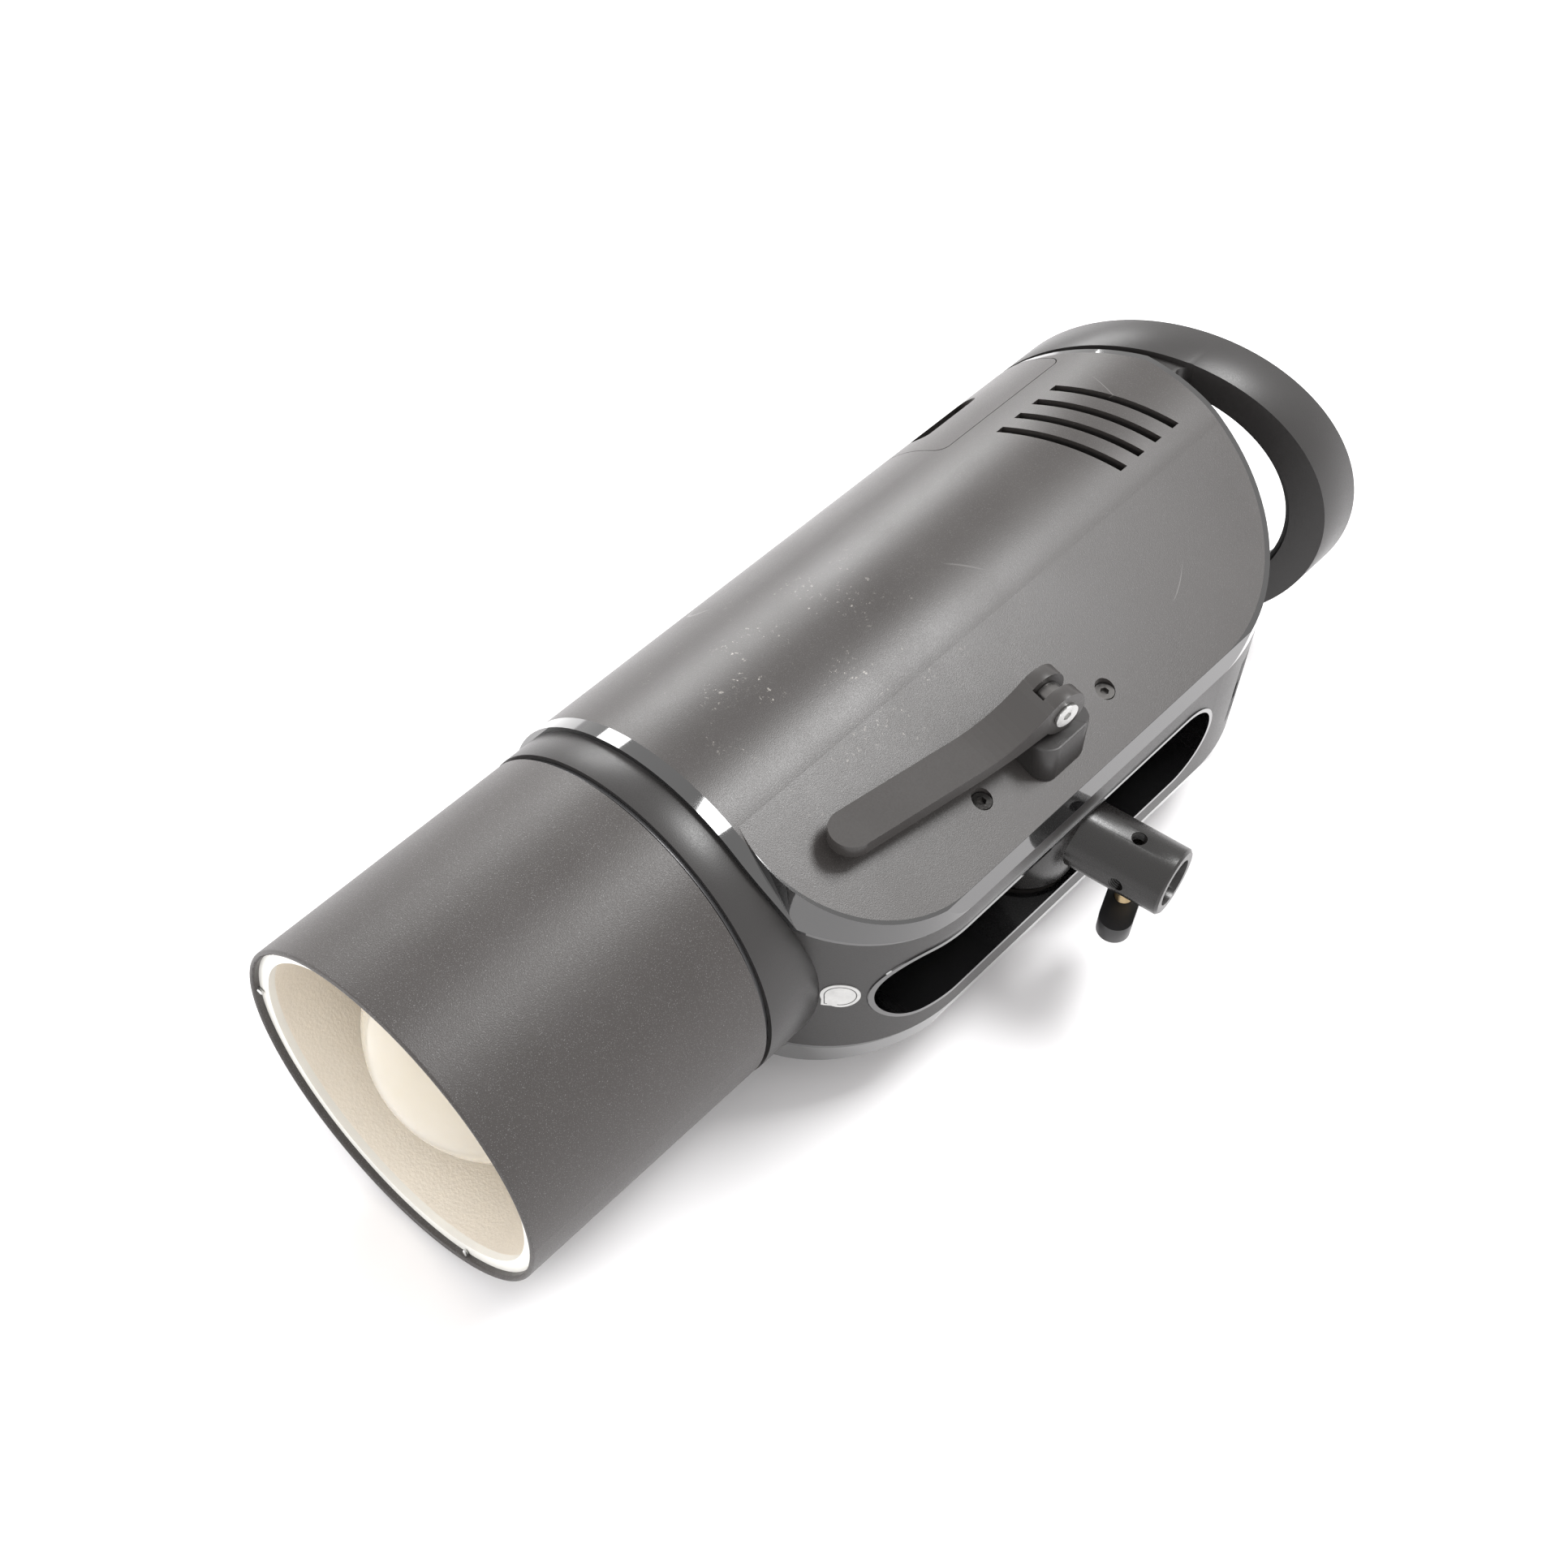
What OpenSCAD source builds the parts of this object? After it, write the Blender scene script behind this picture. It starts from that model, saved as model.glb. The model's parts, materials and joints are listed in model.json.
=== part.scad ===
// Monolight strobe lying on its right-hand side.
// Head axes: +Y runs back along the optical axis, +X points to the stand socket, +Z to the lever side.
// y = 0 is the front rim of the reflector and x = z = 0 is the optical axis.

/* [Reflector] */
// Outer radius of the reflector
reflector_r = 60; // [59:0.2:60.3]
// Length of the reflector
reflector_len = 94.1; // [93.6:0.1:94.3]
// Radius of the frosted glass dome
dome_r = 42; // [36:0.5:43]
// Distance of the dome centre behind the rim
dome_y = 46; // [44:1:52]

/* [Body] */
// Radius of the round upper body
body_r = 62; // [61.9:0.1:62.4]
// Height of the keel face below the optical axis
keel_x = 81.7; // [81:0.1:83]
// Front face of the body
body_front = 108.2; // [108:0.1:109]
// Rear face of the body
body_rear = 347.5; // [347:0.1:350]
// Slope of the flanks
flank_slope = 23.8; // [22:0.1:25]
// Thickness of the side panels and the gloss trim
skin = 1.6; // [1.2:0.1:2]
// Wall of the housing halves
wall = 2.5; // [2:0.1:3]
// Slope of the handle ring, the vents and the upper rear edge
rear_slope = 20; // [18:0.5:21]

/* [Stand bracket] */
// Height of the tilt pivot below the optical axis
pivot_x = 62.5; // [62.5:0.5:64.5]
// Distance of the tilt pivot behind the rim
pivot_y = 211.2; // [208:0.5:214]
// Rest tilt of the stand tube
tilt = 8.35; // [-15:0.05:15]
// Outer radius of the stand tube
tube_r = 11.65; // [11:0.05:12]
// Radius of the stand socket, for a 16 mm spigot
socket_r = 8.05; // [8:0.01:8.2]
// Reach of the stand tube from the pivot
tube_len = 51; // [48:1:56]
// Half width of the keel slot
slot_half = 15.8; // [15:0.1:16.5]

/* [Lever] */
// Height of the lever pin above the optical axis
pin_z = 59.2; // [59:0.1:61]
// Length of the cam lever from its pin
lever_len = 82; // [60:1:86]
// Direction of the closed lever, turned from straight ahead
lever_turn = 9.2; // [4:0.1:12]

/* [Hidden] */
$fn = 96;
big = 400;
lug_count = 3;
lug_start = 57;
shell_t = 1.8;
pin_r = 0.7;
pin_angles = [57, 177, 297];

// flank, bevel and keel as lines [nx, nz, c] with nx*x + nz*z = c
flank = [sin(flank_slope), cos(flank_slope), body_r];
edge_z = 25.3;
edge_rise = 0.199;
corner_z = 35.1;
corner_lean = 10.1;
corner_slope = 0.29;
seam = 0.05;
bevel_in = 1.7;
bevel_top = [keel_x - bevel_in, (body_r - (keel_x - bevel_in) * sin(flank_slope)) / cos(flank_slope)];
bevel_dir = bevel_top - [keel_x, edge_z];
bevel_n = [bevel_dir[1], -bevel_dir[0]] / norm(bevel_dir);
bevel = [bevel_n[0], bevel_n[1], bevel_n * bevel_top];

front_corner_r = 49.3;
rear_corner_r = 64;
panel_front = 113.2;
panel_rear = body_rear - 2;
panel_x = keel_x - skin - 0.2;
panel_front_r = 44.3;
panel_rear_r = 61.9;
rear_rise = tan(rear_slope);
ring_front_y = 352.5;
ring_rear_y = 370.5;
handle_inner_r = 50.2;
rear_hole_r = 50;
skin_ring_r = 54;

slot_front = 128;
slot_rear = 282;
slot_top = 41;
liner_wall = 1.5;

battery_x = -29.8;
battery_front = 270.7;
battery_rear = 332.5;
cell_r = 8.7;
cell_x = -39.4;
cell_zs = [-27.3, -9.1, 9.1, 27.3];
vent_ys = [323.3, 314.1, 305, 295.8];
screw_pitch = 29.6;
screw_seat = 36;
screw_x = pivot_x + 1.5;

tube_offset = 5.8;
tube_hole = 36.2;
socket_start = 13;
tube_chamfer = 0.8;
knuckle_r = 18.5;
knuckle_half = 13.4;
bolt_r = 4;
block_w = 21.5;
lever_half = 7;
arm_top = 55.8;
arm_thick = 4.8;
ramp_r = 40;
ramp_y = -31;
neck = 4.4;
block_top = 51;
knob_turn = 22;
m6_tap_r = 2.5;
hub_z = -47;
knob_half = 8.5;

fan_x = 3;
fan_half = 25;
fan_y = 300;

display_x = -22;
button_x = 4;
dial_x = 25;

// the origin is the bottom centre of the whole part's box
tube_end_x = pivot_x + tube_len * cos(tilt) - (tube_offset - tube_r + tube_chamfer) * sin(tilt);
ring_rear = ring_rear_y + (body_r - 0.1) * rear_rise;
origin_shift = [-(tube_end_x - body_r) / 2, -ring_rear / 2, body_r];

function meet(a, b) = [a[2] * b[1] - b[2] * a[1], a[0] * b[2] - b[0] * a[2]] / (a[0] * b[1] - b[0] * a[1]);
function shrink(l, d) = [l[0], l[1], l[2] - d];

// ---------- helpers ----------
module place() {
    translate(origin_shift) children();
}
module prism_y(y0, len) {
    translate([0, y0, 0]) rotate([-90, 0, 0]) linear_extrude(len) children();
}
module prism_x(x0, len) {
    translate([x0, 0, 0]) rotate([90, 0, 90]) linear_extrude(len) children();
}
module rod_y(r, y0, len, x = 0, z = 0) {
    translate([x, y0, z]) rotate([-90, 0, 0]) cylinder(r = r, h = len);
}
module rod_z(r, z0, len, x, y) {
    translate([x, y, z0]) cylinder(r = r, h = len);
}
module pipe_y(r_in, r_out, y0, len) {
    prism_y(y0, len) difference() {
        circle(r = r_out);
        circle(r = r_in);
    }
}
module upper_half(z0 = 0) {
    translate([-big / 2, -big / 4, z0]) cube([big, big * 1.5, big]);
}
module mirror_side() {
    mirror([0, 0, 1]) children();
}
module rounded_rect(w, h, r) {
    square([w - 2 * r, h], center = true);
    square([w, h - 2 * r], center = true);
    for (sx = [-1, 1], sy = [-1, 1])
        translate([sx * (w / 2 - r), sy * (h / 2 - r)]) circle(r = r, $fn = 32);
}
module stadium(y0, y1, r) {
    translate([y0 + r, 0]) circle(r = r);
    translate([y1 - r, 0]) circle(r = r);
    translate([y0 + r, -r]) square([y1 - y0 - 2 * r, 2 * r]);
}

// ---------- body shapes ----------
module keel_outline(inset) {
    f = shrink(flank, inset + seam);
    b = shrink(bevel, inset);
    k = [1, 0, keel_x - inset];
    side = [[f[0], f[1]] * f[2], meet(f, b), meet(b, k)];
    polygon([side[0], side[1], side[2], [side[2][0], -side[2][1]], [side[1][0], -side[1][1]],
        [side[0][0], -side[0][1]]]);
}
module profile(x1, y0, y1, r0, r1, tilt_y) {
    x_in = x1 - max(r0, r1);
    difference() {
        union() {
            translate([-big / 2, y0]) square([big / 2 + x_in, y1 - y0]);
            translate([x_in - 1, y0]) square([x1 - r0 - x_in + 1, y1 - y0 - r1]);
            translate([x1 - r0 - 1, y0 + r0]) square([r0 + 1, y1 - y0 - r0 - r1]);
            translate([x1 - r0, y0 + r0]) circle(r = r0, $fn = 128);
            translate([x1 - r1, y1 - r1]) circle(r = r1, $fn = 128);
        }
        translate([0, tilt_y]) rotate(rear_slope) translate([-big, 0]) square([2 * big, big]);
    }
}
module corner_cut(inset) {
    r = front_corner_r - inset;
    difference() {
        translate([25.5, body_front - 3, edge_z - 1.3]) cube([62.5, front_corner_r + 3, 51]);
        translate([keel_x - front_corner_r + 0.6, body_front + front_corner_r, corner_z])
            rotate([0, corner_lean, 0]) translate([0, 0, -20])
                cylinder(r1 = r + 20 * corner_slope, r2 = r - 60 * corner_slope, h = 80);
        rod_y(body_r - inset, body_front - 10, 80);
    }
}
module body_solid(inset) {
    difference() {
        intersection() {
            union() {
                rod_y(body_r - inset, body_front - 1, body_rear - body_front + 2);
                prism_y(body_front - 1, body_rear - body_front + 2) keel_outline(inset);
            }
            translate([0, 0, -big / 2]) linear_extrude(big)
                profile(keel_x - inset, body_front + inset, body_rear - inset,
                    front_corner_r - inset, rear_corner_r - inset, body_rear + 2.1 - inset);
        }
        corner_cut(inset);
        mirror_side() corner_cut(inset);
    }
}
module keel_side(z0) {
    prism_y(0, big * 1.2) polygon([[0, -z0], [0, -edge_z - edge_rise * keel_x], [keel_x, -edge_z],
        [keel_x + 20, -edge_z + 20 * edge_rise], [keel_x + 20, -z0]]);
}
module panel_area() {
    linear_extrude(big)
        profile(panel_x, panel_front, panel_rear, panel_front_r, panel_rear_r, body_rear - 0.2);
}
module skin_layer() {
    intersection() {
        difference() {
            body_solid(0);
            body_solid(skin);
        }
        upper_half();
    }
}
module vents(z0) {
    for (y = vent_ys) translate([0, y, z0]) linear_extrude(big / 4)
        polygon([[-20.6, -1.7 - 20.6 * rear_rise], [19.4, -1.7 + 19.4 * rear_rise],
            [19.4, 1.7 + 19.4 * rear_rise], [-20.6, 1.7 - 20.6 * rear_rise]]);
}
module battery_cut(gap) {
    translate([-big / 4, (battery_front + battery_rear) / 2, -big / 4]) linear_extrude(big / 2)
        translate([battery_x + gap - 60 + big / 4, 0])
            rounded_rect(120, battery_rear - battery_front + 2 * gap, 4);
}
module slot_space(grow) {
    prism_x(slot_top - grow, 60) stadium(slot_front - grow, slot_rear + grow, slot_half + grow);
}
module screw_spots() {
    for (s = [-1, 1]) translate([screw_x, pivot_y + s * screw_pitch, 0]) children();
}

// ---------- housing ----------
module half_housing() {
    difference() {
        union() {
            intersection() {
                difference() {
                    body_solid(skin);
                    body_solid(skin + wall);
                }
                upper_half();
            }
            intersection() {
                skin_layer();
                keel_side(0);
            }
            intersection() {
                body_solid(skin + wall / 2);
                union() {
                    rod_z(10, slot_half + liner_wall + 0.1, 60, pivot_x, pivot_y);
                    screw_spots() translate([0, 0, slot_half + liner_wall + 0.1]) cylinder(r = 4.5, h = 60);
                }
            }
        }
        slot_space(liner_wall + 0.05);
        battery_cut(0.25);
        vents(20);
        rod_y(rear_hole_r, body_rear - 60, 70);
        rod_y(rear_hole_r, body_front - 5, 20);
        rod_y(skin_ring_r, body_front - 5, 5 + skin);
        rod_z(bolt_r + 0.05, -1, 80, pivot_x, pivot_y);
        screw_spots() translate([0, 0, 22]) cylinder(r = 1.8, h = 60);
        screw_spots() translate([0, 0, screw_seat]) cylinder(r = 3.4, h = 60);
        port_hole();
    }
}
module left_housing() {
    place() color([0.13, 0.13, 0.14]) half_housing();
}
module right_housing() {
    place() color([0.13, 0.13, 0.14]) mirror_side() half_housing();
}
module half_panel() {
    difference() {
        intersection() {
            skin_layer();
            panel_area();
        }
        battery_cut(0.25);
        vents(20);
        rod_z(bolt_r + 0.05, 0, 80, pivot_x, pivot_y);
        screw_spots() translate([0, 0, 20]) cylinder(r = 3.4, h = 60);
    }
}
module left_side_panel() {
    place() color([0.2, 0.2, 0.21]) half_panel();
}
module right_side_panel() {
    place() color([0.2, 0.2, 0.21]) mirror_side() half_panel();
}
module half_trim() {
    difference() {
        skin_layer();
        panel_area();
        keel_side(-1);
        rod_y(skin_ring_r, body_front - 5, 280);
        battery_cut(0.25);
    }
}
module left_trim() {
    place() color([0.04, 0.04, 0.05]) half_trim();
}
module right_trim() {
    place() color([0.04, 0.04, 0.05]) mirror_side() half_trim();
}
module slot_liner() {
    place() color([0.05, 0.05, 0.06]) difference() {
        intersection() {
            slot_space(liner_wall);
            body_solid(-0.4);
        }
        slot_space(0);
        rod_z(bolt_r + 0.05, -40, 80, pivot_x, pivot_y);
    }
}
module panel_screws() {
    place() color([0.3, 0.3, 0.32]) for (side = [0, 1]) mirror([0, 0, side]) screw_spots() difference() {
        union() {
            translate([0, 0, 24]) cylinder(r = 1.75, h = screw_seat - 23);
            translate([0, 0, screw_seat]) cylinder(r = 3.2, h = 2.4);
        }
        translate([0, 0, screw_seat + 1.1]) cylinder(r = 1.5, h = 2, $fn = 6);
    }
}

// ---------- front ----------
module front_collar() {
    place() color([0.12, 0.12, 0.13]) difference() {
        pipe_y(58.7, 60.3, 96.1, 30);
        body_solid(0);
        catch_slot();
    }
}
module catch_slot() {
    translate([-4.7, 98.3, -66]) cube([9.4, 9.5, 12]);
}
module lug_sectors(r, width, start) {
    for (k = [0:lug_count - 1]) rotate(start + k * 360 / lug_count)
        polygon([[0, 0], [r, 0], [r, r * tan(width / 2)], [r * cos(width), r * sin(width)]]);
}
module mount_ring() {
    place() color([0.35, 0.35, 0.36]) difference() {
        union() {
            pipe_y(50.8, 58.6, 95, 2.8);
            pipe_y(54.8, 58.6, 97.8, body_front - 97.8);
        }
        prism_y(94, 3.9) intersection() {
            circle(r = 54.8);
            lug_sectors(80, 34, lug_start + 32);
        }
        catch_slot();
    }
}
module lamp_base() {
    place() color([0.86, 0.84, 0.78]) difference() {
        union() {
            rod_y(48, 97, 8);
            rod_y(53.8, 103.4, body_front + skin - 103.4);
        }
        for (s = [-1, 1]) rod_y(4.05, 90, 12, s * 24);
    }
}
module flash_tube() {
    place() color([0.9, 0.92, 0.95]) union() {
        translate([0, 66, 0]) rotate([-90, 0, 0]) rotate_extrude()
            translate([24, 0]) circle(r = 4, $fn = 32);
        for (s = [-1, 1]) rod_y(4, 66, 36, s * 24);
    }
}
module modelling_lamp() {
    place() color([0.95, 0.9, 0.7]) union() {
        rod_y(13, 86, 11);
        translate([0, 86, 0]) sphere(r = 11);
    }
}
module glass_dome() {
    place() color([0.96, 0.93, 0.85, 0.7]) difference() {
        union() {
            translate([0, dome_y, 0]) rotate([-90, 0, 0]) sphere(r = dome_r);
            rod_y(dome_r, dome_y, 97 - dome_y);
        }
        translate([0, dome_y, 0]) rotate([-90, 0, 0]) sphere(r = dome_r - 2);
        rod_y(dome_r - 2, dome_y, 60);
    }
}
module reflector_shell() {
    place() color([0.14, 0.14, 0.15]) difference() {
        union() {
            rotate([-90, 0, 0]) rotate_extrude() {
                translate([reflector_r - shell_t / 2, shell_t / 2]) circle(r = shell_t / 2, $fn = 32);
                translate([reflector_r - shell_t, shell_t / 2])
                    square([shell_t, reflector_len - shell_t / 2]);
            }
            pipe_y(49, reflector_r - 1, reflector_len - 2, 2);
            pipe_y(49, 50.72, reflector_len - 1, 8);
            prism_y(98.2, 2.9) intersection() {
                difference() {
                    circle(r = 54.5);
                    circle(r = 50);
                }
                lug_sectors(80, 30, lug_start);
            }
        }
        pin_spots() cylinder(r = pin_r + 0.03, h = 3, $fn = 32);
    }
}
module pin_spots() {
    for (a = pin_angles) rotate([0, -a, 0]) translate([reflector_r - 4, 1.7, 0])
        rotate([0, 90, 0]) children();
}
module reflector_liner() {
    place() color([0.8, 0.78, 0.72]) difference() {
        translate([0, 4.9, 0]) rotate([-90, 0, 0]) cylinder(r1 = 55.2, r2 = 52.2, h = 87.1);
        translate([0, 4.9, 0]) rotate([-90, 0, 0]) cylinder(r1 = 54, r2 = 51, h = 87.1);
    }
}
module rim_ring() {
    place() color([0.93, 0.92, 0.88]) union() {
        pipe_y(54, reflector_r - shell_t, 2.45, 1.2);
        pipe_y(54, 55.2, 3.4, 1.5);
    }
}
module rim_pins() {
    place() color([0.75, 0.75, 0.77]) pin_spots() union() {
        translate([0, 0, 0.6]) cylinder(r = pin_r, h = 2.3);
        translate([0, 0, 0.6]) sphere(r = pin_r);
    }
}
module release_catch() {
    place() color([0.1, 0.1, 0.11]) union() {
        translate([-4.6, 98.4, -60.9]) cube([9.2, 6.2, 3]);
        translate([-2.5, 101.5, -59]) cube([5, 2.8, 4.1]);
    }
}

// ---------- rear ----------
module slab(y0, y1) {
    difference() {
        translate([-big / 2, y0 - big / 4, -big / 4]) cube([big, y1 - y0 + big / 2, big / 2]);
        translate([0, y0, 0]) rotate([0, 0, rear_slope])
            translate([-big, -big, -big / 2]) cube([2 * big, big, big]);
        translate([0, y1, 0]) rotate([0, 0, rear_slope])
            translate([-big, 0, -big / 2]) cube([2 * big, big, big]);
    }
}
module handle_ring() {
    place() color([0.15, 0.15, 0.16]) difference() {
        union() {
            intersection() {
                pipe_y(handle_inner_r, body_r - 0.1, 310, 110);
                slab(ring_front_y, ring_rear_y);
            }
            intersection() {
                pipe_y(handle_inner_r, body_r - 2.4, 310, 60);
                slab(ring_front_y - 50, ring_front_y + 1);
                translate([-big + 8, 300, -big / 2]) cube([big, 100, big]);
            }
        }
        body_solid(0);
        rod_z(3.9, -big / 4, big / 2, 8, 351.5);
        battery_cut(0.4);
    }
}
module handle_grip() {
    place() color([0.07, 0.07, 0.07]) intersection() {
        pipe_y(handle_inner_r - 2, handle_inner_r, 310, 110);
        slab(ring_front_y + 1.5, ring_rear_y - 1.5);
        translate([9, 300, -big / 2]) cube([big, 120, big]);
    }
}
module rear_panel() {
    place() color([0.11, 0.11, 0.12]) difference() {
        rod_y(rear_hole_r - 0.1, body_rear - skin - 3, 3);
        translate([display_x, body_rear - 3, 0]) cube([32.2, 20, 50.2], center = true);
        for (z = [-27, -9, 9, 27]) rod_y(4.6, 335, 20, button_x, z);
        rod_y(3.05, 335, 20, dial_x, 0);
        translate([dial_x - 1, 345, -28]) cube([9.2, 20, 13.2], center = true);
        rod_y(3.2, 335, 20, dial_x - 1, 27);
    }
}
module display_window() {
    place() color([0.05, 0.06, 0.07]) translate([display_x, body_rear - skin - 0.8, 0])
        cube([32, 1.6, 50], center = true);
}
module display_module() {
    place() color([0.3, 0.36, 0.34]) translate([display_x, body_rear - skin - 3.1, 0])
        cube([31, 3, 49], center = true);
}
module control_board() {
    place() color([0.06, 0.28, 0.14]) difference() {
        prism_y(335.4, 1.6) intersection() {
            circle(r = 49);
            translate([-24, -40]) square([62, 80]);
        }
        rod_y(2.2, 330, 10, dial_x, 0);
    }
}
module control_dial() {
    place() color([0.08, 0.08, 0.08]) union() {
        rod_y(3, 338, 11, dial_x, 0);
        difference() {
            rod_y(9, 346.2, 9, dial_x, 0);
            for (k = [0:11]) translate([dial_x, 0, 0]) rotate([0, k * 30, 0]) rod_y(0.9, 348, 10, 9.3, 0);
        }
    }
}
module push_button(z) {
    place() color([0.3, 0.3, 0.31]) union() {
        rod_y(4.5, 342, 5.2, button_x, z);
        rod_y(5.6, 340.2, 1.9, button_x, z);
    }
}
module test_button() {
    push_button(-27);
}
module mode_button() {
    push_button(-9);
}
module lamp_button() {
    push_button(9);
}
module sync_button() {
    push_button(27);
}
module power_switch() {
    place() color([0.05, 0.05, 0.05]) translate([dial_x - 1, 0, -28]) intersection() {
        translate([0, 345, 0]) cube([9, 10, 13], center = true);
        translate([-10, 341.4, 0]) rotate([0, 90, 0]) cylinder(r = 6.5, h = 20);
    }
}
module sync_socket() {
    place() color([0.6, 0.6, 0.62]) difference() {
        rod_y(3.2, 337.2, body_rear - skin - 337.2, dial_x - 1, 27);
        rod_y(1.8, 339, 12, dial_x - 1, 27);
    }
}

// ---------- insides ----------
module chassis_plate() {
    place() color([0.7, 0.72, 0.74]) difference() {
        translate([36.4, 116, -36]) cube([2, 160, 72]);
        for (y = [130, 265]) translate([30, y, 0]) rotate([0, 90, 0]) cylinder(r = 6, h = 20);
    }
}
module power_board() {
    place() color([0.08, 0.3, 0.16]) union() {
        translate([-48, 122, -0.8]) cube([84.4, 140, 1.6]);
        translate([-30, 225, 0.8]) cube([26, 24, 13]);
        translate([6, 226, -13.8]) cube([22, 22, 13]);
    }
}
module capacitor_bank() {
    place() color([0.12, 0.16, 0.34]) for (x = [-21, 16], z = [-33, 33]) rod_y(17.2, 126, 82, x, z);
}
module fan_frame() {
    place() color([0.12, 0.12, 0.12]) difference() {
        translate([fan_x - fan_half, fan_y, -fan_half]) cube([2 * fan_half, 15, 2 * fan_half]);
        rod_y(23, fan_y - 1, 14, fan_x, 0);
        difference() {
            rod_y(23, fan_y + 10, 6, fan_x, 0);
            rod_y(9, fan_y + 9, 8, fan_x, 0);
            translate([fan_x - 30, fan_y + 12, -2]) cube([60, 6, 4]);
        }
        rod_y(1.55, fan_y - 1, 20, fan_x, 0);
    }
}
module fan_rotor() {
    place() color([0.2, 0.2, 0.2]) translate([fan_x, fan_y + 1.5, 0]) union() {
        rod_y(8.5, 0, 9.5);
        rod_y(1.5, 9, 4.4);
        for (k = [0:6]) rotate([0, k * 360 / 7, 0]) translate([7, 4.75, 0]) rotate([38, 0, 0])
            cube([14.4, 1.2, 8.5]);
    }
}
module battery_bay() {
    place() color([0.1, 0.1, 0.1]) difference() {
        translate([battery_x + 0.35, battery_front - 1.6, -48.8])
            cube([1.9, battery_rear - battery_front + 3.2, 97.6]);
        for (z = [-12, -4, 4, 12]) translate([battery_x, 284, z - 1]) cube([1.2, 12, 2]);
    }
}
module battery_case() {
    place() color([0.2, 0.2, 0.21]) difference() {
        intersection() {
            battery_cut(0);
            rod_y(body_r, 200, 150);
            slab(-big, body_rear + 1.9);
        }
        for (z = cell_zs) rod_y(cell_r + 0.1, battery_front + 6, 50.2, cell_x, z);
        difference() {
            translate([-48, 295, -big / 4]) linear_extrude(big / 2) rounded_rect(7, 28, 3);
            rod_y(57.5, 270, 60);
        }
        translate([-70, 304, -8.2]) cube([13, 14.4, 16.4]);
    }
}
module battery_cells() {
    place() color([0.2, 0.42, 0.6]) for (z = cell_zs) rod_y(cell_r, battery_front + 6.1, 50, cell_x, z);
}
module battery_latch() {
    place() color([0.3, 0.3, 0.31]) difference() {
        translate([-61.2, 304.2, -8]) cube([4.1, 11, 16]);
        for (k = [0:3]) translate([-62, 306.6 + 2.1 * k, -6]) cube([1.4, 1, 12]);
    }
}

// ---------- keel door ----------
module keel_arc(r_in, r_out, half) {
    translate([keel_x - rear_corner_r, body_rear - rear_corner_r, -half]) difference() {
        cylinder(r = r_out, h = 2 * half);
        translate([0, 0, -1]) cylinder(r = r_in, h = 2 * half + 2);
    }
}
module arc_window(a0, a1) {
    translate([keel_x - rear_corner_r, body_rear - rear_corner_r, -20]) linear_extrude(40)
        polygon([[0, 0], [90 * cos(a0), 90 * sin(a0)], [100, 100 * tan((a0 + a1) / 2)],
            [90 * cos(a1), 90 * sin(a1)]]);
}
module port_hole() {
    intersection() {
        keel_arc(rear_corner_r - 3, rear_corner_r + 2, 15.2);
        arc_window(14, 38);
    }
    intersection() {
        keel_arc(rear_corner_r - 8, rear_corner_r + 2, 11);
        arc_window(17, 35);
    }
}
module port_cover() {
    place() color([0.12, 0.12, 0.13]) difference() {
        intersection() {
            keel_arc(rear_corner_r - 2.8, rear_corner_r, 15);
            arc_window(14.3, 37.7);
        }
        translate([keel_x - rear_corner_r, body_rear - rear_corner_r, 0]) rotate([0, 0, 15])
            translate([rear_corner_r, 0, 0]) cube([3, 4, 9], center = true);
    }
}
module port_socket() {
    place() color([0.55, 0.55, 0.57]) translate([keel_x - rear_corner_r, body_rear - rear_corner_r, 0])
        rotate([0, 0, 26]) translate([rear_corner_r - 7.6, 0, 0]) difference() {
            cube([4, 14, 12], center = true);
            translate([1, 0, 0]) cube([4, 9, 3.4], center = true);
        }
}
module inspection_sticker() {
    place() color([0.85, 0.85, 0.83]) intersection() {
        translate([keel_x - front_corner_r, body_front + front_corner_r, -20]) difference() {
            cylinder(r = front_corner_r + 0.25, h = 40);
            translate([0, 0, -1]) cylinder(r = front_corner_r, h = 42);
        }
        translate([keel_x - front_corner_r, body_front + front_corner_r, 0.8]) rotate([0, 0, -48.2])
            rotate([0, 90, 0]) linear_extrude(60) {
                circle(r = 6.1);
                translate([0, -5.6]) square(5.6);
            }
    }
}

// ---------- tilt bracket ----------
module tube_frame() {
    translate([pivot_x, pivot_y, 0]) rotate([0, 0, tilt]) children();
}
module stand_tube() {
    place() color([0.1, 0.1, 0.11]) tube_frame() difference() {
        union() {
            translate([0, 0, -knuckle_half]) cylinder(r = knuckle_r, h = 2 * knuckle_half);
            translate([6, tube_offset, 0]) rotate([0, 90, 0])
                cylinder(r = tube_r, h = tube_len - 6 - tube_chamfer);
            translate([tube_len - tube_chamfer, tube_offset, 0]) rotate([0, 90, 0])
                cylinder(r1 = tube_r, r2 = tube_r - tube_chamfer, h = tube_chamfer);
        }
        translate([0, 0, -20]) cylinder(r = bolt_r + 0.05, h = 40);
        translate([socket_start, tube_offset, 0]) rotate([0, 90, 0]) cylinder(r = socket_r, h = tube_len);
        translate([tube_hole, tube_offset, -20]) cylinder(r = m6_tap_r + 0.5, h = 20, $fn = 48);
        translate([tube_hole, tube_offset, 0]) cylinder(r = m6_tap_r, h = 20, $fn = 48);
        translate([tube_hole, tube_offset, 0]) rotate([90, 0, 0]) cylinder(r = m6_tap_r, h = 20, $fn = 48);
    }
}
module friction_washers() {
    place() color([0.25, 0.2, 0.15]) tube_frame() for (s = [-1, 1])
        translate([0, 0, s * (knuckle_half + 1) - 1]) difference() {
            cylinder(r = 17, h = 2);
            translate([0, 0, -1]) cylinder(r = bolt_r + 0.05, h = 4);
        }
}
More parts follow.
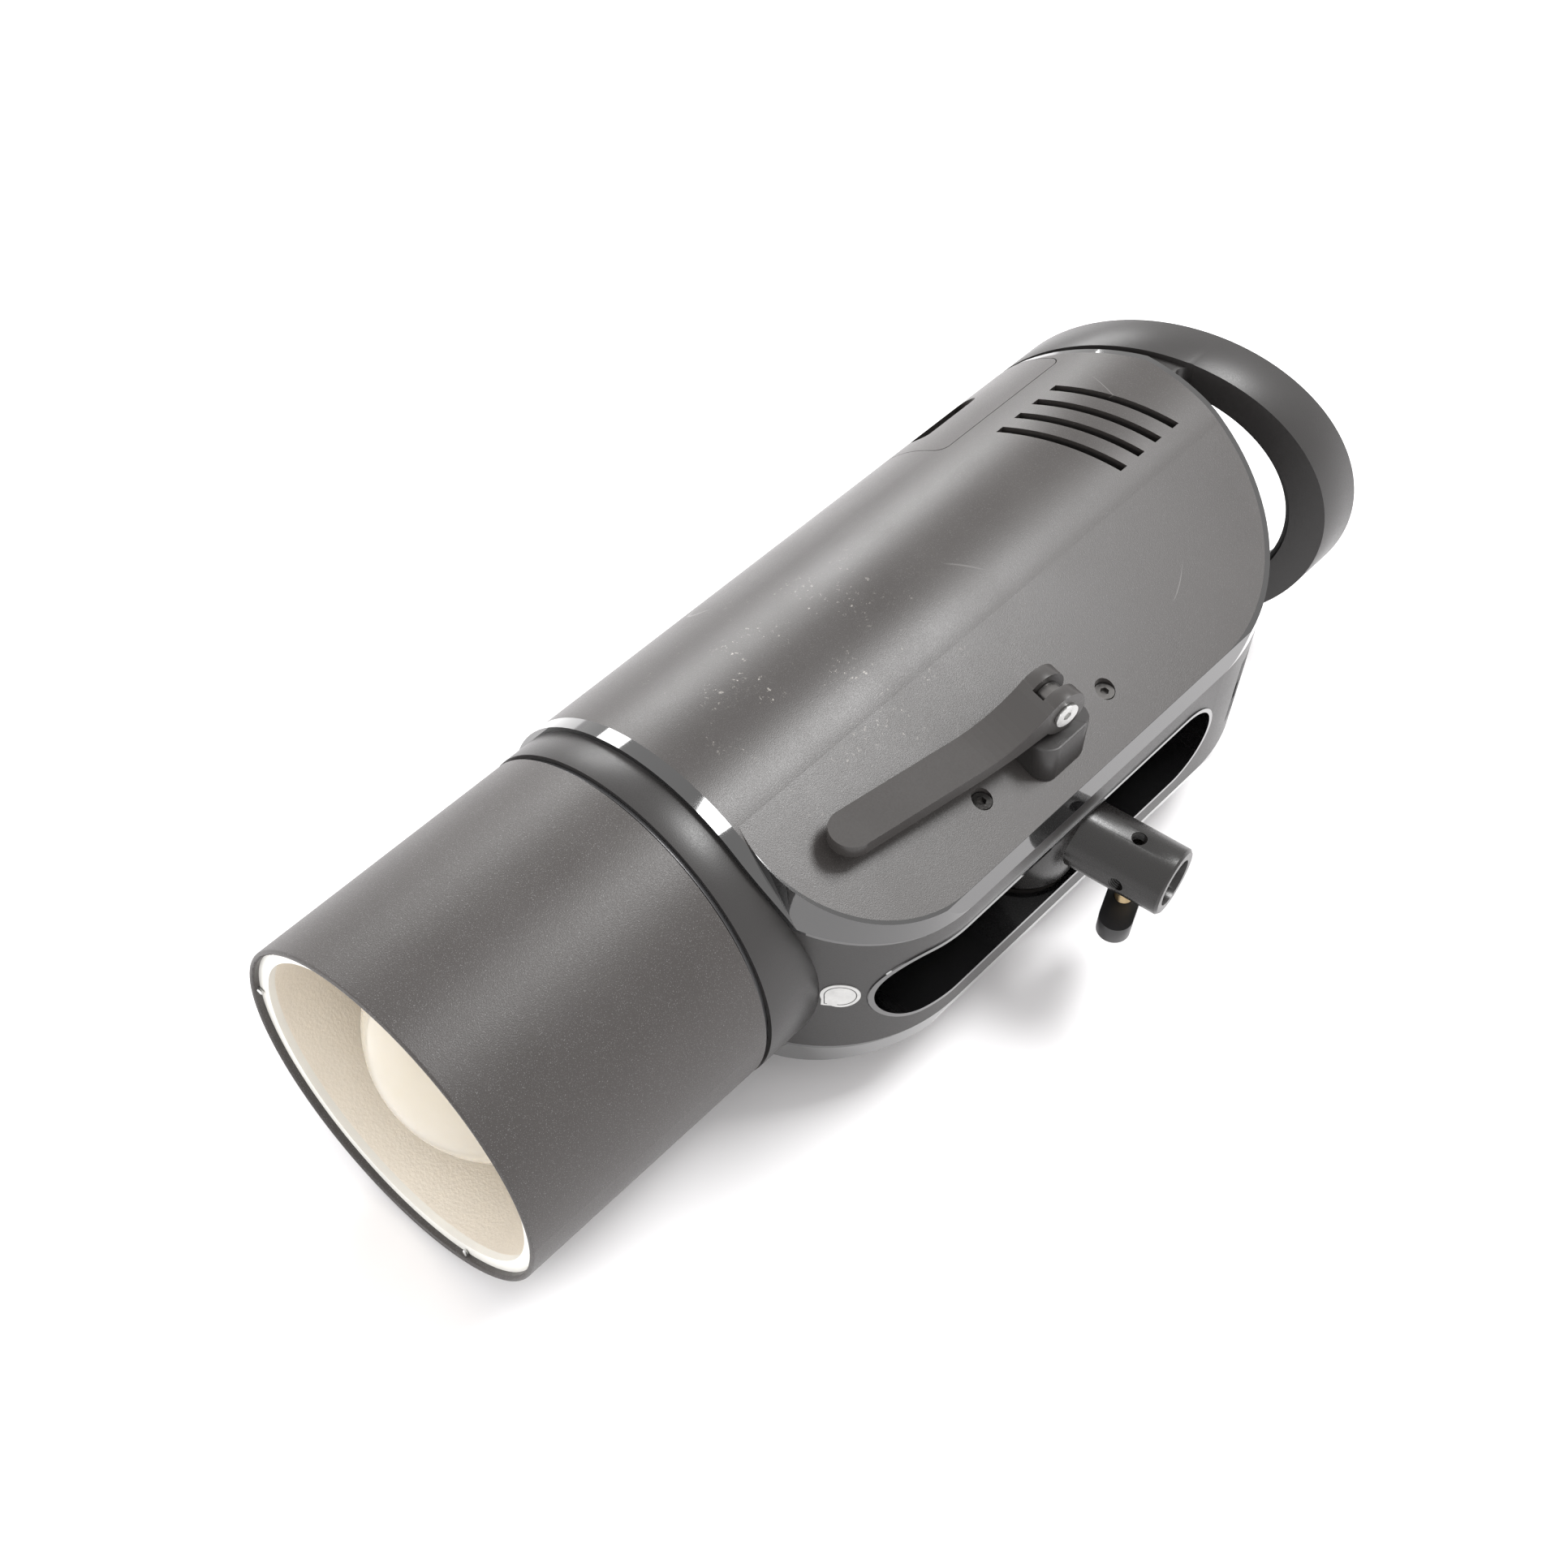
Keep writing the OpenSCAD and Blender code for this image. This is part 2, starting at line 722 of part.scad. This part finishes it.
module clamp_screw() {
    place() color([0.72, 0.6, 0.38]) tube_frame()
        translate([tube_hole, tube_offset, -22]) cylinder(r = 2.95, h = 13.6);
}
module clamp_knob() {
    place() color([0.09, 0.09, 0.1]) tube_frame() translate([tube_hole, tube_offset, -27]) difference() {
        rotate([0, 0, -90 + knob_turn - tilt]) linear_extrude(7) {
            square([2 * knob_half, 11], center = true);
            for (s = [-1, 1]) translate([s * knob_half, 0]) circle(r = 5.5);
        }
        translate([0, 0, 5]) cylinder(r = 3, h = 5);
    }
}
module lever_frame() {
    translate([pivot_x, pivot_y, 0]) rotate([0, 0, -lever_turn]) children();
}
module tie_bolt() {
    place() color([0.62, 0.62, 0.64]) lever_frame() difference() {
        union() {
            translate([0, 0, -55]) cylinder(r = bolt_r, h = 55 + block_top);
            translate([-neck / 2, -neck / 2, block_top - 1]) cube([neck, neck, pin_z - block_top]);
            translate([-neck / 2, 0, pin_z]) rotate([0, 90, 0]) cylinder(r = 5, h = neck);
        }
        translate([-10, 0, pin_z]) rotate([0, 90, 0]) cylinder(r = 2.55, h = 20);
    }
}
module lever_pin() {
    place() color([0.78, 0.78, 0.76]) lever_frame() translate([0, 0, pin_z]) difference() {
        union() {
            translate([-lever_half, 0, 0]) rotate([0, 90, 0]) cylinder(r = 2.5, h = 2 * lever_half + 0.5);
            translate([lever_half + 0.05, 0, 0]) rotate([0, 90, 0]) cylinder(r = 4.2, h = 0.95);
        }
        translate([lever_half + 0.3, 0, 0]) rotate([0, 90, 0]) cylinder(r = 1.6, h = 3, $fn = 6);
    }
}
module lever_side() {
    translate([0, pin_z]) circle(r = 7.8);
    ramp = [for (a = [40:-4:0]) [ramp_y + ramp_r * sin(a), arm_top + ramp_r * (1 - cos(a))]];
    polygon(concat(ramp, [[-lever_len, arm_top], [-lever_len, arm_top - arm_thick],
        [ramp_y, arm_top - arm_thick], [-18, pin_z - 7.2], [-6, pin_z - 5], [0, pin_z - 2], [0, pin_z + 5]]));
}
module cam_lever() {
    place() color([0.13, 0.13, 0.14]) lever_frame() difference() {
        intersection() {
            prism_x(-lever_half, 2 * lever_half) lever_side();
            linear_extrude(big / 4) {
                translate([-lever_half, -lever_len + lever_half]) square([2 * lever_half, lever_len + 2]);
                translate([0, -lever_len + lever_half]) circle(r = lever_half);
            }
        }
        translate([-2.4, -5.6, 0]) cube([4.8, 30, big / 4]);
        translate([-10, 0, pin_z]) rotate([0, 90, 0]) cylinder(r = 2.55, h = 20);
    }
}
module cam_block() {
    place() color([0.1, 0.1, 0.11]) difference() {
        translate([pivot_x, pivot_y, 20]) linear_extrude(block_top - 20)
            rounded_rect(block_w, block_w + 1.5, 6);
        body_solid(0);
        rod_z(bolt_r + 0.05, 0, 80, pivot_x, pivot_y);
    }
}
module anchor_hub() {
    place() color([0.1, 0.1, 0.11]) difference() {
        rod_z(12, hub_z, 30, pivot_x, pivot_y);
        body_solid(0);
        rod_z(bolt_r + 0.05, -60, 80, pivot_x, pivot_y);
    }
}
module anchor_nut() {
    place() color([0.6, 0.6, 0.62]) difference() {
        translate([pivot_x, pivot_y, -body_r]) union() {
            translate([0, 0, body_r + hub_z - 7]) cylinder(r = 7.3, h = 7, $fn = 6);
            cylinder(r = 6.2, h = 9);
        }
        rod_z(bolt_r + 0.03, -56, 30, pivot_x, pivot_y);
    }
}

left_housing();
right_housing();
left_side_panel();
right_side_panel();
left_trim();
right_trim();
front_collar();
mount_ring();
lamp_base();
flash_tube();
modelling_lamp();
glass_dome();
slot_liner();
handle_ring();
handle_grip();
rear_panel();
display_window();
display_module();
control_board();
chassis_plate();
power_board();
capacitor_bank();
fan_frame();
fan_rotor();
battery_bay();
panel_screws();
cam_block();
anchor_hub();
anchor_nut();
inspection_sticker();
sync_socket();
port_socket();
port_cover();
reflector_shell();
reflector_liner();
rim_ring();
rim_pins();
release_catch();
battery_case();
battery_cells();
battery_latch();
tie_bolt();
lever_pin();
cam_lever();
stand_tube();
friction_washers();
clamp_screw();
clamp_knob();
control_dial();
test_button();
mode_button();
lamp_button();
sync_button();
power_switch();
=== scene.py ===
import json
import math

import bpy
from mathutils import Matrix, Vector


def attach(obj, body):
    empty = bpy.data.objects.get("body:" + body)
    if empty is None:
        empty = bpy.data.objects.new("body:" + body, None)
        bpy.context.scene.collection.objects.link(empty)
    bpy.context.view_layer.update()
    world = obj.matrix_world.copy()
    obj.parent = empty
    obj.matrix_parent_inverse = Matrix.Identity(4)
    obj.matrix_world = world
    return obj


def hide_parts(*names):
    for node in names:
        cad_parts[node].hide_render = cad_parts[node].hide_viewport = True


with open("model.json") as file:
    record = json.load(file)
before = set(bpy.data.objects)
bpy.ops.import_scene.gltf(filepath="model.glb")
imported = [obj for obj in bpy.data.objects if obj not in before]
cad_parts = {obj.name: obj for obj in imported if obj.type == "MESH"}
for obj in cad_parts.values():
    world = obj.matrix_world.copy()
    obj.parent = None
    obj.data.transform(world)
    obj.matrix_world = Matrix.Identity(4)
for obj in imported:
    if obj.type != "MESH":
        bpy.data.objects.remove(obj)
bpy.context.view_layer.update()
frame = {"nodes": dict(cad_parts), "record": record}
nodes = frame["nodes"]

MM = 0.001

# The middle of a noise texture's range, where most of its values lie
NOISE_LOW = 0.3
NOISE_HIGH = 0.7


# ---------- node helpers ----------
class Tree:
    """Short calls for building one material's nodes."""

    def __init__(self, name):
        self.mat = bpy.data.materials.new(name)
        self.mat.use_nodes = True
        self.tree = self.mat.node_tree
        self.tree.nodes.clear()
        out = self.tree.nodes.new("ShaderNodeOutputMaterial")
        self.bsdf = self.tree.nodes.new("ShaderNodeBsdfPrincipled")
        self.link(self.bsdf.outputs[0], out.inputs["Surface"])
        self.coord = self.tree.nodes.new("ShaderNodeTexCoord").outputs["Object"]

    def link(self, source, socket):
        self.tree.links.new(source, socket)

    def feed(self, value, socket):
        """Link a node's output to the socket, or set the socket to a plain value."""
        if hasattr(value, "is_output"):
            self.link(value, socket)
        elif socket.type == "RGBA":
            socket.default_value = (*value, 1)
        else:
            socket.default_value = value

    def put(self, **values):
        """Feed sockets of the surface shader, named with underscores for spaces."""
        for key, value in values.items():
            self.feed(value, self.bsdf.inputs[key.replace("_", " ")])

    def noise(self, scale, detail=3.0, rough=0.55, coord=None, distortion=0.0):
        node = self.tree.nodes.new("ShaderNodeTexNoise")
        node.inputs["Scale"].default_value = scale
        node.inputs["Detail"].default_value = detail
        node.inputs["Roughness"].default_value = rough
        node.inputs["Distortion"].default_value = distortion
        self.link(coord or self.coord, node.inputs["Vector"])
        return node.outputs["Fac"]

    def voronoi(self, scale):
        node = self.tree.nodes.new("ShaderNodeTexVoronoi")
        node.inputs["Scale"].default_value = scale
        self.link(self.coord, node.inputs["Vector"])
        return node.outputs["Distance"]

    def ramp(self, fac, low, high):
        """Black below low, white above high."""
        node = self.tree.nodes.new("ShaderNodeValToRGB")
        node.color_ramp.elements[0].position = low
        node.color_ramp.elements[1].position = high
        node.color_ramp.elements[0].color = (0, 0, 0, 1)
        node.color_ramp.elements[1].color = (1, 1, 1, 1)
        self.link(fac, node.inputs[0])
        return node.outputs["Color"]

    def remap(self, fac, low, high, out_low, out_high):
        node = self.tree.nodes.new("ShaderNodeMapRange")
        self.link(fac, node.inputs["Value"])
        ends = (("From Min", low), ("From Max", high), ("To Min", out_low), ("To Max", out_high))
        for key, value in ends:
            node.inputs[key].default_value = value
        return node.outputs["Result"]

    def spread(self, noise, out_low, out_high):
        """Map the middle of a noise's range to out_low..out_high."""
        return self.remap(noise, NOISE_LOW, NOISE_HIGH, out_low, out_high)

    def math(self, kind, first, second=None):
        node = self.tree.nodes.new("ShaderNodeMath")
        node.operation = kind
        self.feed(first, node.inputs[0])
        if second is not None:
            self.feed(second, node.inputs[1])
        return node.outputs[0]

    def mix(self, fac, first, second):
        """Mix two colours."""
        node = self.tree.nodes.new("ShaderNodeMix")
        node.data_type = "RGBA"
        self.feed(fac, next(s for s in node.inputs if s.name == "Factor"))
        for key, colour in (("A", first), ("B", second)):
            self.feed(colour, next(s for s in node.inputs if s.name == key and s.type == "RGBA"))
        return next(s for s in node.outputs if s.type == "RGBA")

    def tone(self, noise, first, second):
        """A colour that wanders between two with a noise."""
        return self.mix(self.spread(noise, 0, 1), first, second)

    def bump(self, height, strength, distance, under=None):
        """Bump for the surface shader, on top of another bump if one is given."""
        node = self.tree.nodes.new("ShaderNodeBump")
        node.inputs["Strength"].default_value = strength
        node.inputs["Distance"].default_value = distance
        self.link(height, node.inputs["Height"])
        if under is not None:
            self.link(under, node.inputs["Normal"])
        self.link(node.outputs[0], self.bsdf.inputs["Normal"])
        return node.outputs[0]


# ---------- marks on a surface ----------
def hairlines(m, scale, width, gate):
    """Thin, long, faint scratches: the places where a smooth noise crosses its middle value."""
    offset = m.math("ABSOLUTE", m.math("SUBTRACT", m.noise(scale, 0.0), 0.5))
    line = m.remap(offset, 0.0, width, 1.0, 0.0)
    return m.math("MULTIPLY", line, m.remap(m.noise(scale * 2.3, 1.0), gate, gate + 0.05, 0.0, 1.0))


def residue(m, centre, radius):
    """Dried flecks of glue or dust, gathered round one place."""
    away = m.tree.nodes.new("ShaderNodeVectorMath")
    away.operation = "DISTANCE"
    m.link(m.coord, away.inputs[0])
    away.inputs[1].default_value = centre
    near = m.remap(away.outputs["Value"], radius * 0.4, radius, 1.0, 0.0)
    specks = m.remap(m.noise(620, 6.0, 0.75), 0.6, 0.64, 0.0, 1.0)
    patches = m.remap(m.noise(85, 2.0), 0.5, 0.58, 0.0, 1.0)
    return m.math("MULTIPLY", m.math("MULTIPLY", near, specks), patches)


# ---------- kinds of material ----------
def textured_plastic(name, dark, light, rough, grain=2600, fleck=0.0, bump=0.25, marks=None):
    """Moulded plastic with a fine spark-eroded texture and slight mottling.

    fleck is the strength of bright specks, and marks is (centre, radius) of the residue.
    """
    m = Tree(name)
    fine = m.noise(grain, 2.0)
    broad = m.noise(22, 4.0, 0.6)
    tone = m.tone(broad, dark, light)
    if fleck:
        spark = m.ramp(m.noise(grain * 1.3, 1.0, 0.4), 0.62, 0.72)
        tone = m.mix(m.math("MULTIPLY", spark, fleck), tone, (0.4, 0.4, 0.4))
    if marks:
        tone = m.mix(m.math("MULTIPLY", hairlines(m, 9, 0.0012, 0.56), 0.3), tone, (0.4, 0.39, 0.38))
        tone = m.mix(m.math("MULTIPLY", residue(m, *marks), 0.5), tone, (0.5, 0.47, 0.43))
    uneven = m.math("ADD", m.spread(broad, -0.04, 0.04), m.spread(fine, rough - 0.05, rough + 0.05))
    m.put(Base_Color=tone, Roughness=uneven)
    m.bump(fine, bump, 0.0002)
    return m.mat


def gloss_plastic(name, colour, rough=0.08, smear=0.05, coat=0.4):
    """Polished plastic with faint smears and hairlines."""
    m = Tree(name)
    broad = m.noise(40, 5.0, 0.65)
    lines = m.noise(600, 2.0, 0.5, distortion=2.0)
    m.put(Base_Color=m.tone(broad, colour, tuple(c * 1.4 for c in colour)),
          Roughness=m.remap(broad, 0.35, 0.75, rough, rough + smear),
          Coat_Weight=coat, Coat_Roughness=0.04, Coat_IOR=1.7)
    m.bump(lines, 0.02, 0.0001)
    return m.mat


def metal(name, colour, rough=0.28, stretch=(1, 1, 12)):
    """Turned or brushed metal: fine directional lines over a slight tarnish."""
    m = Tree(name)
    mapping = m.tree.nodes.new("ShaderNodeMapping")
    mapping.inputs["Scale"].default_value = stretch
    m.link(m.coord, mapping.inputs["Vector"])
    lines = m.noise(900, 3.0, 0.6, coord=mapping.outputs[0])
    broad = m.noise(60, 4.0)
    uneven = m.math("ADD", m.spread(lines, rough - 0.06, rough + 0.08), m.spread(broad, 0.0, 0.05))
    m.put(Base_Color=m.tone(broad, colour, tuple(c * 0.8 for c in colour)), Metallic=1.0, Roughness=uneven)
    m.bump(lines, 0.12, 0.00008)
    return m.mat


def painted(name, colour, rough):
    """Satin paint with a faint orange peel and tiny brighter chips."""
    m = Tree(name)
    peel = m.noise(1500, 2.0)
    broad = m.noise(35, 4.0)
    chips = m.ramp(m.noise(330, 5.0, 0.7), 0.72, 0.76)
    uneven = m.math("ADD", m.spread(peel, rough - 0.04, rough + 0.04), m.spread(broad, -0.03, 0.05))
    m.put(Base_Color=m.mix(m.math("MULTIPLY", chips, 0.25), colour, (0.3, 0.3, 0.3)), Roughness=uneven)
    m.bump(peel, 0.12, 0.0001)
    return m.mat


# ---------- single materials ----------
def reflector_silver():
    """Hammered, slightly warm silver inside the reflector."""
    m = Tree("reflector_silver")
    grain = m.noise(1700, 2.0, 0.6)
    m.put(Base_Color=m.tone(m.noise(18, 3.0), (0.86, 0.81, 0.73), (0.92, 0.87, 0.79)),
          Metallic=0.6, Roughness=m.spread(grain, 0.36, 0.52))
    m.bump(m.voronoi(900), 0.25, 0.0002, m.bump(grain, 0.3, 0.0002))
    return m.mat


def rim_white():
    m = Tree("rim_white")
    broad = m.noise(50, 4.0)
    m.put(Base_Color=m.tone(broad, (0.8, 0.79, 0.75), (0.86, 0.85, 0.8)),
          Roughness=m.spread(broad, 0.28, 0.4))
    m.bump(m.noise(1200, 2.0), 0.05, 0.0001)
    return m.mat


def dome_frosted():
    m = Tree("dome_frosted")
    broad = m.noise(30, 3.0)
    m.put(Base_Color=m.tone(broad, (0.66, 0.6, 0.49), (0.72, 0.66, 0.56)),
          Roughness=m.spread(broad, 0.2, 0.3), Transmission_Weight=0.25,
          Subsurface_Weight=0.5, Subsurface_Scale=0.004, Subsurface_Radius=(1.0, 0.9, 0.7),
          Coat_Weight=0.3, Coat_Roughness=0.06)
    m.bump(m.noise(1400, 2.0), 0.06, 0.0001)
    return m.mat


def glass(name, colour, scale, rough_low, rough_high, transmission):
    m = Tree(name)
    m.put(Base_Color=colour, Roughness=m.spread(m.noise(scale), rough_low, rough_high),
          Transmission_Weight=transmission)
    return m.mat


def sticker_paper():
    m = Tree("sticker_paper")
    broad = m.noise(300, 3.0)
    m.put(Base_Color=m.tone(broad, (0.55, 0.55, 0.54), (0.68, 0.68, 0.67)),
          Roughness=m.spread(broad, 0.3, 0.5), Metallic=0.3)
    m.bump(broad, 0.05, 0.0001)
    return m.mat


def floor_pale():
    m = Tree("floor_pale")
    m.put(Base_Color=m.mix(m.noise(3.0), (0.9, 0.89, 0.9), (0.92, 0.915, 0.92)),
          Roughness=m.spread(m.noise(30), 0.5, 0.6))
    return m.mat


# Place and radius of the residue on the lever side's panel, in metres
PANEL_MARKS = ((-0.02, -0.03, 0.12), 0.06)

# One material for each slot name
materials = {
    "housing": textured_plastic("housing_black", (0.02, 0.0185, 0.018), (0.026, 0.0243, 0.0238), 0.38,
                                bump=0.12),
    "panel": textured_plastic("panel_dark_grey", (0.034, 0.03, 0.0285), (0.042, 0.038, 0.036), 0.37,
                              grain=3000, fleck=0.1, bump=0.2, marks=PANEL_MARKS),
    "reflector_black": textured_plastic("reflector_texture", (0.036, 0.0315, 0.0295), (0.045, 0.04, 0.038),
                                        0.44, fleck=0.22, bump=0.3),
    "gloss_trim": gloss_plastic("trim_gloss_black", (0.005, 0.005, 0.0052), 0.05, 0.04, coat=1.0),
    "window": gloss_plastic("window_gloss", (0.004, 0.005, 0.006), 0.03, 0.02),
    "controls": textured_plastic("control_satin", (0.02, 0.02, 0.021), (0.026, 0.026, 0.027), 0.36,
                                 bump=0.08),
    "grip": textured_plastic("grip_soft", (0.014, 0.014, 0.014), (0.02, 0.02, 0.02), 0.62, grain=1500),
    "washer": textured_plastic("washer_fibre", (0.07, 0.06, 0.05), (0.1, 0.09, 0.08), 0.7, grain=1200),
    "cast": painted("bracket_paint", (0.012, 0.011, 0.0105), 0.26),
    "lever": painted("lever_paint", (0.034, 0.031, 0.0295), 0.34),
    "steel": metal("steel_turned", (0.62, 0.62, 0.61)),
    "dark_screws": metal("screw_black_oxide", (0.16, 0.155, 0.15), 0.3),
    "brass": metal("brass_turned", (0.6, 0.46, 0.27), 0.3),
    "mount_metal": metal("bayonet_anodised", (0.16, 0.16, 0.165), 0.35),
    "chassis": metal("sheet_mill", (0.7, 0.71, 0.72), 0.35, (1, 14, 1)),
    "ceramic": textured_plastic("ceramic_white", (0.72, 0.7, 0.64), (0.78, 0.76, 0.7), 0.5,
                                grain=1500, bump=0.06),
    "display": textured_plastic("display_grey", (0.2, 0.25, 0.23), (0.24, 0.29, 0.27), 0.5),
    "electronics": gloss_plastic("board_green", (0.02, 0.13, 0.05), 0.3, 0.2),
    "capacitor": gloss_plastic("capacitor_sleeve", (0.03, 0.05, 0.18), 0.2, 0.15),
    "cells": gloss_plastic("cell_sleeve", (0.05, 0.16, 0.3), 0.2, 0.15),
    "reflector_silver": reflector_silver(),
    "rim_white": rim_white(),
    "dome": dome_frosted(),
    "tube_glass": glass("quartz_clear", (0.95, 0.96, 0.97), 50, 0.03, 0.1, 0.9),
    "lamp": glass("lamp_frosted", (0.95, 0.92, 0.82), 80, 0.3, 0.45, 0.4),
    "sticker": sticker_paper(),
}

slot_of = {s["node"]: s.get("material_slot", s["node"]) for s in frame["record"]["subparts"]}
for name, obj in nodes.items():
    obj.data.materials.clear()
    obj.data.materials.append(materials[slot_of[name]])

# Widths in millimetres of the broken edges on the machined, cast and moulded pieces
EDGE_WIDTHS = {
    "cam_lever": 0.5,
    "cam_block": 0.6,
    "clamp_knob": 0.6,
    "stand_tube": 0.35,
    "handle_ring": 0.7,
    "release_catch": 0.3,
    "battery_latch": 0.3,
    "lever_pin": 0.2,
    "front_collar": 0.3,
}
for name, width in EDGE_WIDTHS.items():
    weld = nodes[name].modifiers.new("weld", "WELD")
    weld.merge_threshold = 0.002 * MM
    edge = nodes[name].modifiers.new("broken_edge", "BEVEL")
    edge.width = width * MM
    edge.segments = 2
    edge.limit_method = "ANGLE"
    edge.angle_limit = math.radians(40)
    edge.use_clamp_overlap = True
    edge.harden_normals = False


# ---------- detail pieces ----------
# In millimetres about the optical axis, with the rim's front edge at y = 0
SHIFT = Vector((-25.846365, -196.514879, 62.0))
PIVOT = Vector((62.5, 211.2, 0.0))
TILT = math.radians(8.35)

# The clamp's holes, along the stand tube from the pivot
HOLE_REACH = 36.2
# The tube's axis, to one side of the pivot
TUBE_OFFSET = 5.8
# Where a hole's thread starts, just outside the socket's bore
THREAD_START = 8.1

# Front corner of the keel
KEEL_FACE = 81.7
BODY_FRONT = 108.2
CORNER_R = 49.3

# The blank label's place round that corner, and the radius of its printed line
LABEL_TURN = math.radians(-48.2)
LABEL_HEIGHT = 0.8
LABEL_LINE_R = 49.58

# Points round a thread, and rings for each turn of it
THREAD_SIDES = 48
STEPS_PER_TURN = 8


def place(points):
    """Millimetres about the optical axis to metres in the row frame."""
    return [(Vector(p) + SHIFT) * MM for p in points]


def on_tube(points):
    """The same for points given along the tilted stand tube."""
    turn = Matrix.Rotation(TILT, 3, "Z")
    return place([PIVOT + turn @ Vector(p) for p in points])


def piece(name, points, faces, body, slot, smooth=True):
    """A new object that moves with a body and has the material of a slot."""
    mesh = bpy.data.meshes.new(name)
    mesh.from_pydata(points, [], faces)
    mesh.validate()
    mesh.polygons.foreach_set("use_smooth", [smooth] * len(mesh.polygons))
    mesh.materials.append(materials[slot])
    obj = bpy.data.objects.new(name, mesh)
    bpy.context.scene.collection.objects.link(obj)
    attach(obj, body)
    return obj


def thread_grid(r_root, r_crest, length, pitch):
    """Points and side faces of a threaded cylinder along z, ring by ring from the bottom."""
    rings = int(length / pitch * STEPS_PER_TURN) + 1
    points = []
    for j in range(rings):
        z = length * j / (rings - 1)
        for i in range(THREAD_SIDES):
            wave = abs(((z / pitch - i / THREAD_SIDES) % 1.0) * 2.0 - 1.0)
            r = r_root + (r_crest - r_root) * min(1.0, max(0.0, wave * 1.4 - 0.2))
            a = 2 * math.pi * i / THREAD_SIDES
            points.append((r * math.cos(a), r * math.sin(a), z))
    faces = []
    for j in range(rings - 1):
        low = j * THREAD_SIDES
        high = low + THREAD_SIDES
        for i in range(THREAD_SIDES):
            after = (i + 1) % THREAD_SIDES
            faces.append((low + i, low + after, high + after, high + i))
    return points, faces


def brass_thread():
    """The clamp screw with its real thread, in place of the plain cylinder."""
    points, faces = thread_grid(2.5, 2.94, 13.6, 1.0)
    top = len(points) - THREAD_SIDES
    faces.append(tuple(range(THREAD_SIDES - 1, -1, -1)))
    faces.append(tuple(range(top, top + THREAD_SIDES)))
    moved = on_tube([(x + HOLE_REACH, y + TUBE_OFFSET, z - 22.0) for x, y, z in points])
    obj = piece("clamp_screw_threaded", moved, faces, "clamp", "brass")
    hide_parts("clamp_screw")


def tapped_hole(name, turn):
    """Thread ridges in an open hole of the stand tube: a ridged skin with a wider one behind it."""
    back_scale = 2.49 / 2.3
    points, sides = thread_grid(2.48, 2.12, 3.2, 0.8)
    back = [(x * back_scale, y * back_scale, z) for x, y, z in points]
    count = len(points)
    faces = [tuple(reversed(f)) for f in sides] + [tuple(i + count for i in f) for f in sides]
    spin = Matrix.Rotation(turn, 3, "X")
    hole = Vector((HOLE_REACH, TUBE_OFFSET, 0))
    moved = [hole + spin @ Vector((x, y, z + THREAD_START)) for x, y, z in points + back]
    piece(name, on_tube(moved), faces, "bracket", "cast")


def label_border():
    """A fine printed line inside the edge of the blank inspection label."""
    arc_steps = 27
    angles = [math.radians(-90 + 270 * k / arc_steps) for k in range(arc_steps + 1)]
    outline = [(5.0 * math.cos(a), 5.0 * math.sin(a)) for a in angles] + [(-4.7, -4.7)]
    points = []
    for scale in (1.0, 0.94):
        for along, up in outline:
            a = LABEL_TURN + along * scale / CORNER_R
            points.append((KEEL_FACE - CORNER_R + LABEL_LINE_R * math.cos(a),
                           BODY_FRONT + CORNER_R + LABEL_LINE_R * math.sin(a),
                           LABEL_HEIGHT + up * scale))
    n = len(outline)
    faces = [(i, (i + 1) % n, n + (i + 1) % n, n + i) for i in range(n)]
    piece("label_border_line", place(points), faces, "head", "controls", smooth=False)


brass_thread()
tapped_hole("tapped_thread_lever_side", 0.0)
tapped_hole("tapped_thread_front_side", math.pi / 2)
label_border()


# ---------- floor, lights, camera ----------
def floor():
    mesh = bpy.data.meshes.new("floor")
    half = 6.0
    corners = [(-half, -half, 0), (half, -half, 0), (half, half, 0), (-half, half, 0)]
    mesh.from_pydata(corners, [], [(0, 1, 2, 3)])
    mesh.materials.append(floor_pale())
    obj = bpy.data.objects.new("floor", mesh)
    bpy.context.scene.collection.objects.link(obj)


def studio_world():
    world = bpy.data.worlds.new("studio")
    world.use_nodes = True
    background = world.node_tree.nodes["Background"]
    background.inputs["Color"].default_value = (1.0, 0.99, 0.985, 1)
    background.inputs["Strength"].default_value = 1.2
    bpy.context.scene.world = world


def area_light(name, position, target, size, power):
    """A rectangular soft box, aimed at the target. Metres and watts."""
    data = bpy.data.lights.new(name, "AREA")
    data.shape = "RECTANGLE"
    data.size, data.size_y = size
    data.energy = power
    obj = bpy.data.objects.new(name, data)
    bpy.context.scene.collection.objects.link(obj)
    obj.location = position
    obj.rotation_euler = (Vector(target) - Vector(position)).to_track_quat("-Z", "Y").to_euler()


def photo_camera():
    """The camera at the photograph's viewing angle."""
    data = bpy.data.cameras.new("camera")
    data.lens = 53.58
    data.sensor_width = 36
    data.shift_x = 0.0012
    data.clip_start = 0.05
    camera = bpy.data.objects.new("camera", data)
    bpy.context.scene.collection.objects.link(camera)
    camera.location = (0.25885, -0.37205, 0.65524)
    camera.rotation_euler = [math.radians(a) for a in (36.8695, -2.2662, 42.8784)]
    bpy.context.scene.camera = camera


floor()
studio_world()
area_light("key", (0.36, 0.8, 1.6), (0, 0, 0.06), (0.6, 0.5), 22)
area_light("side", (-1.1, 0.65, 0.65), (0, 0, 0.06), (0.7, 0.4), 9)
area_light("front", (-0.8, -1.3, 0.55), (-0.02, -0.15, 0.06), (0.9, 0.7), 9)
photo_camera()
bpy.context.scene.view_settings.view_transform = "Standard"
